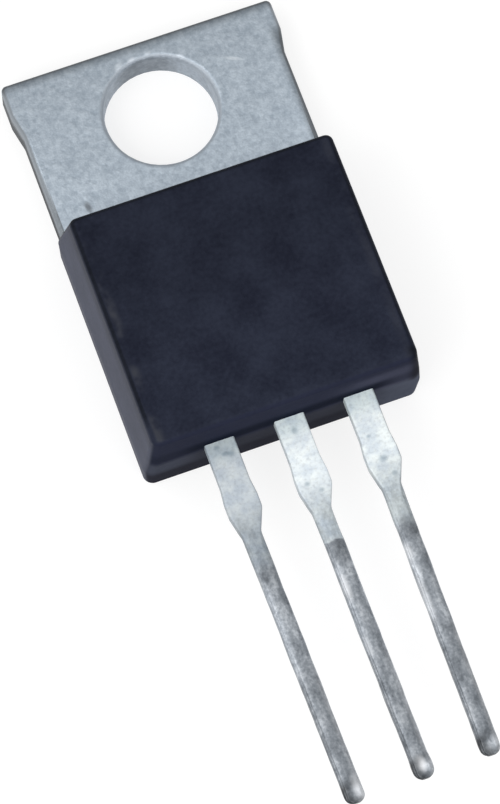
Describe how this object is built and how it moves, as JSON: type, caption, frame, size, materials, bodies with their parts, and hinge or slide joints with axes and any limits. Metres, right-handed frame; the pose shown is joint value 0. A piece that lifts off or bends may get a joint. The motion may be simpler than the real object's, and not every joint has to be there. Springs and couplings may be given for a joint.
{
  "type": "triac",
  "caption": "Triac in a moulded power package: plated tab with a screw hole, black epoxy body, tinned flat leads, and the die and bond wires inside.",
  "frame": {"origin": "on the mounting hole's axis at the tab's back face", "axes": "+X to the right seen from the front with the leads down, +Y towards the tab's top edge, +Z out of the front face"},
  "size_m": [0.0102, 0.029, 0.0045],
  "materials": {
    "plated_copper": "matte nickel plate on copper, tinned on the lead",
    "black_epoxy": "fine matte moulded epoxy",
    "tinned_copper": "satin tin with a solder-dipped end",
    "silicon": "polished silicon with metal on top",
    "solder": "dull solder",
    "bond_wire": "bright drawn wire"
  },
  "bodies": {
    "root": {"tab_and_centre_lead": "plated_copper", "moulded_body": "black_epoxy", "main_terminal_1_lead": "tinned_copper", "gate_lead": "tinned_copper", "triac_die": "silicon", "die_solder": "solder", "mt1_bond_wire_1": "bond_wire", "mt1_bond_wire_2": "bond_wire", "gate_bond_wire": "bond_wire"}
  },
  "joints": []
}
